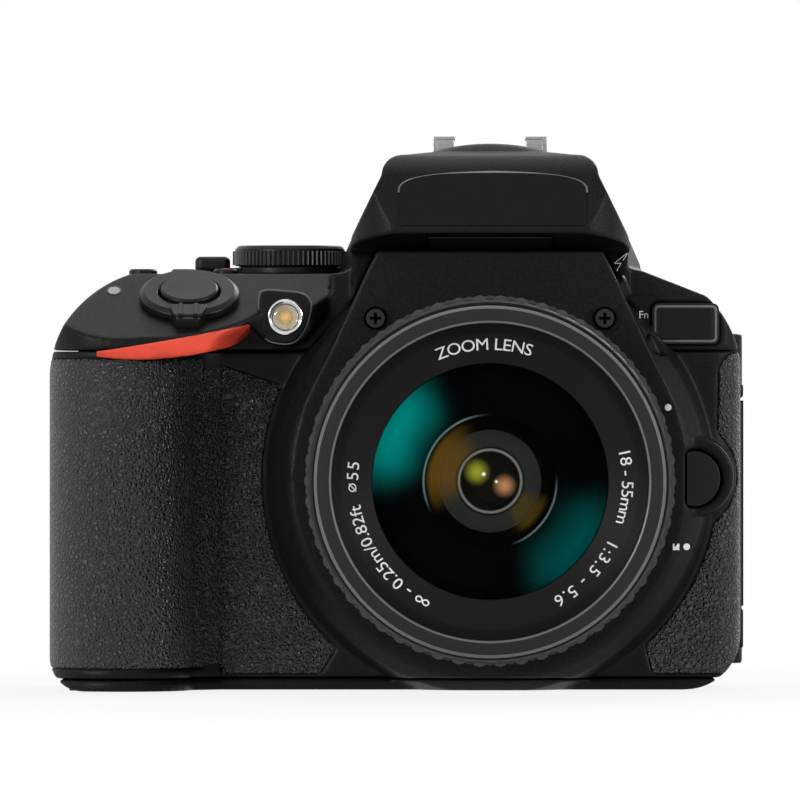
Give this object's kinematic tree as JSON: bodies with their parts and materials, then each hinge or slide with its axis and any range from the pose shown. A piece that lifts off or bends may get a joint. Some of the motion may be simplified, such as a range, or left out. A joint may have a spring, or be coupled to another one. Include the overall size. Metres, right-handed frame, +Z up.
{
  "type": "dslr camera",
  "caption": "Single-lens reflex camera with deep hand grip, swing-out monitor, pop-up flash, control dials and a mounted zoom lens.",
  "frame": {"origin": "centre of the tripod socket's mouth on the base, under the optical axis", "axes": "+X to the camera's own left (cable side), -Y out of the lens, +Z up"},
  "size_m": [0.124, 0.1259, 0.0987],
  "materials": {
    "body_black": "fine sand-textured moulding",
    "control_black": "semi-gloss moulding",
    "leather_rubber": "leather-grain rubber",
    "soft_rubber": "smooth matte rubber",
    "accent_red": "satin red",
    "bright_steel": "brushed",
    "black_steel": "black oxide",
    "frame_black": "moulded glass-filled nylon",
    "clear_glass": "coated glass",
    "screen_glass": "black display glass",
    "mirror_silver": "front-silvered",
    "board_green": "solder mask",
    "cell_grey": "moulded case"
  },
  "bodies": {
    "camera": {"front_cover": "body_black", "top_cover": "body_black", "rear_cover": "body_black", "base_cover": "body_black", "badge_plate": "control_black", "red_accent": "accent_red", "grip_rubber": "leather_rubber", "body_rubber": "leather_rubber", "eyecup": "soft_rubber", "chassis_frame": "frame_black", "mount_ring": "bright_steel", "screws": "black_steel", "tripod_socket": "bright_steel", "hot_shoe": "bright_steel", "strap_eyelets": "bright_steel", "af_lamp": "clear_glass", "viewfinder_prism": "mirror_silver", "focusing_screen": "clear_glass", "eyepiece_lens": "clear_glass", "shutter_unit": "frame_black", "image_sensor": "screen_glass", "main_board": "board_green", "battery": "cell_grey", "lens_bayonet": "bright_steel", "lens_barrel": "body_black", "rear_lens_group": "clear_glass", "monitor_bracket": "body_black"},
    "shutter_key": {"shutter_button": "control_black"},
    "power_ring": {"power_switch": "control_black"},
    "mode_knob": {"mode_dial": "control_black"},
    "live_view_switch": {"live_view_lever": "control_black"},
    "command_wheel": {"command_dial": "soft_rubber"},
    "info_key": {"info_button": "control_black"},
    "exposure_key": {"exposure_button": "control_black"},
    "movie_key": {"movie_button": "control_black"},
    "flash_unit": {"flash_head": "body_black", "flash_window": "clear_glass"},
    "flash_key": {"flash_button": "control_black"},
    "fn_key": {"fn_button": "control_black"},
    "release_key": {"lens_release_button": "control_black"},
    "mirror_flap": {"reflex_mirror": "mirror_silver"},
    "zoom_sleeve": {"zoom_ring": "soft_rubber"},
    "extending_barrel": {"front_barrel": "control_black", "front_element": "clear_glass"},
    "focus_sleeve": {"focus_ring": "control_black"},
    "monitor": {"monitor_housing": "body_black", "monitor_glass": "screen_glass"},
    "quick_key": {"quick_button": "control_black"},
    "playback_key": {"playback_button": "control_black"},
    "zoom_out_key": {"zoom_out_button": "control_black"},
    "zoom_in_key": {"zoom_in_button": "control_black"},
    "delete_key": {"delete_button": "control_black"},
    "menu_key": {"menu_button": "control_black"},
    "ae_lock_key": {"ae_lock_button": "control_black"},
    "selector_pad": {"multi_selector": "control_black"},
    "ok_key": {"ok_button": "control_black"},
    "diopter_knob": {"diopter_wheel": "soft_rubber"},
    "battery_hatch": {"battery_door": "body_black"},
    "card_hatch": {"card_door": "body_black"},
    "connector_flap": {"connector_cover": "soft_rubber"}
  },
  "joints": [
    {"name": "shutter_press", "type": "slide", "parent": "camera", "child": "shutter_key", "axis": [0, 0.454, -0.891], "range_m": [0, 0.0007], "stiffness_N_per_m": 1500},
    {"name": "power_turn", "type": "hinge", "parent": "camera", "child": "power_ring", "pos_m": [-0.0534, -0.0142, 0.06931], "axis": [0, -0.454, 0.891], "range_deg": [0, 32]},
    {"name": "mode_turn", "type": "hinge", "parent": "camera", "child": "mode_knob", "pos_m": [-0.036, 0.012, 0.0755], "axis": [0, 0, 1], "continuous": true},
    {"name": "live_view_turn", "type": "hinge", "parent": "camera", "child": "live_view_switch", "pos_m": [-0.036, 0.012, 0.0745], "axis": [0, 0, 1], "range_deg": [0, 18], "stiffness_Nm_per_rad": 0.02},
    {"name": "command_turn", "type": "hinge", "parent": "camera", "child": "command_wheel", "pos_m": [-0.062, 0.0264, 0.0686], "axis": [0, 0, 1], "continuous": true},
    {"name": "info_press", "type": "slide", "parent": "camera", "child": "info_key", "axis": [0, 0, -1], "range_m": [0, 0.0007], "stiffness_N_per_m": 900},
    {"name": "exposure_press", "type": "slide", "parent": "camera", "child": "exposure_key", "axis": [0, 0, -1], "range_m": [0, 0.0007], "stiffness_N_per_m": 900},
    {"name": "movie_press", "type": "slide", "parent": "camera", "child": "movie_key", "axis": [0, 0, -1], "range_m": [0, 0.0007], "stiffness_N_per_m": 900},
    {"name": "flash_rise", "type": "hinge", "parent": "camera", "child": "flash_unit", "pos_m": [0, 0.001, 0.0906], "axis": [-1, 0, 0], "range_deg": [0, 55]},
    {"name": "flash_press", "type": "slide", "parent": "camera", "child": "flash_key", "axis": [-0.9041, 0, -0.4274], "range_m": [0, 0.0007], "stiffness_N_per_m": 900},
    {"name": "fn_press", "type": "slide", "parent": "camera", "child": "fn_key", "axis": [-0.9041, 0, -0.4274], "range_m": [0, 0.0007], "stiffness_N_per_m": 900},
    {"name": "lens_release", "type": "slide", "parent": "camera", "child": "release_key", "axis": [0, 1, 0], "range_m": [0, 0.0019], "stiffness_N_per_m": 800},
    {"name": "mirror_swing", "type": "hinge", "parent": "camera", "child": "mirror_flap", "pos_m": [0, 0.0144, 0.0522], "axis": [-1, 0, 0], "range_deg": [0, 44]},
    {"name": "zoom_turn", "type": "hinge", "parent": "camera", "child": "zoom_sleeve", "pos_m": [0, -0.054, 0.0376], "axis": [0, -1, 0], "range_deg": [0, 90]},
    {"name": "barrel_extend", "type": "slide", "parent": "camera", "child": "extending_barrel", "axis": [0, -1, 0], "range_m": [0, 0.0221]},
    {"name": "focus_turn", "type": "hinge", "parent": "extending_barrel", "child": "focus_sleeve", "pos_m": [0, -0.0755, 0.0376], "axis": [0, -1, 0], "continuous": true},
    {"name": "monitor_swing", "type": "hinge", "parent": "camera", "child": "monitor", "pos_m": [0.0427, 0.03445, 0.0335], "axis": [0, 0, -1], "range_deg": [0, 180]},
    {"name": "quick_press", "type": "slide", "parent": "camera", "child": "quick_key", "axis": [0, -1, 0], "range_m": [0, 0.0007], "stiffness_N_per_m": 900},
    {"name": "playback_press", "type": "slide", "parent": "camera", "child": "playback_key", "axis": [0, -1, 0], "range_m": [0, 0.0007], "stiffness_N_per_m": 900},
    {"name": "zoom_out_press", "type": "slide", "parent": "camera", "child": "zoom_out_key", "axis": [0, -1, 0], "range_m": [0, 0.0007], "stiffness_N_per_m": 900},
    {"name": "zoom_in_press", "type": "slide", "parent": "camera", "child": "zoom_in_key", "axis": [0, -1, 0], "range_m": [0, 0.0007], "stiffness_N_per_m": 900},
    {"name": "delete_press", "type": "slide", "parent": "camera", "child": "delete_key", "axis": [0, -1, 0], "range_m": [0, 0.0007], "stiffness_N_per_m": 900},
    {"name": "menu_press", "type": "slide", "parent": "camera", "child": "menu_key", "axis": [0, -1, 0], "range_m": [0, 0.0007], "stiffness_N_per_m": 900},
    {"name": "ae_lock_press", "type": "slide", "parent": "camera", "child": "ae_lock_key", "axis": [0, -1, 0], "range_m": [0, 0.0007], "stiffness_N_per_m": 900},
    {"name": "selector_rock", "type": "hinge", "parent": "camera", "child": "selector_pad", "pos_m": [-0.058, 0.0364, 0.0305], "axis": [1, 0, 0], "range_deg": [-2, 2], "stiffness_Nm_per_rad": 0.05},
    {"name": "ok_press", "type": "slide", "parent": "camera", "child": "ok_key", "axis": [0, -1, 0], "range_m": [0, 0.0007], "stiffness_N_per_m": 900},
    {"name": "diopter_turn", "type": "hinge", "parent": "camera", "child": "diopter_knob", "pos_m": [-0.0194, 0.0284, 0.0785], "axis": [1, 0, 0], "range_deg": [-90, 90]},
    {"name": "battery_door_open", "type": "hinge", "parent": "camera", "child": "battery_hatch", "pos_m": [-0.0556, -0.0028, 0.001], "axis": [0, -1, 0], "range_deg": [0, 90]},
    {"name": "card_door_open", "type": "hinge", "parent": "camera", "child": "card_hatch", "pos_m": [-0.0776, 0.0258, 0.031], "axis": [0, 0, -1], "range_deg": [0, 100]},
    {"name": "connector_open", "type": "hinge", "parent": "camera", "child": "connector_flap", "pos_m": [0.0441, -0.0049, 0.0325], "axis": [0, 0, -1], "range_deg": [0, 85]}
  ],
  "couplings": [
    {"joint": "barrel_extend", "follows": "zoom_turn", "m_per_rad": 0.014006}
  ]
}
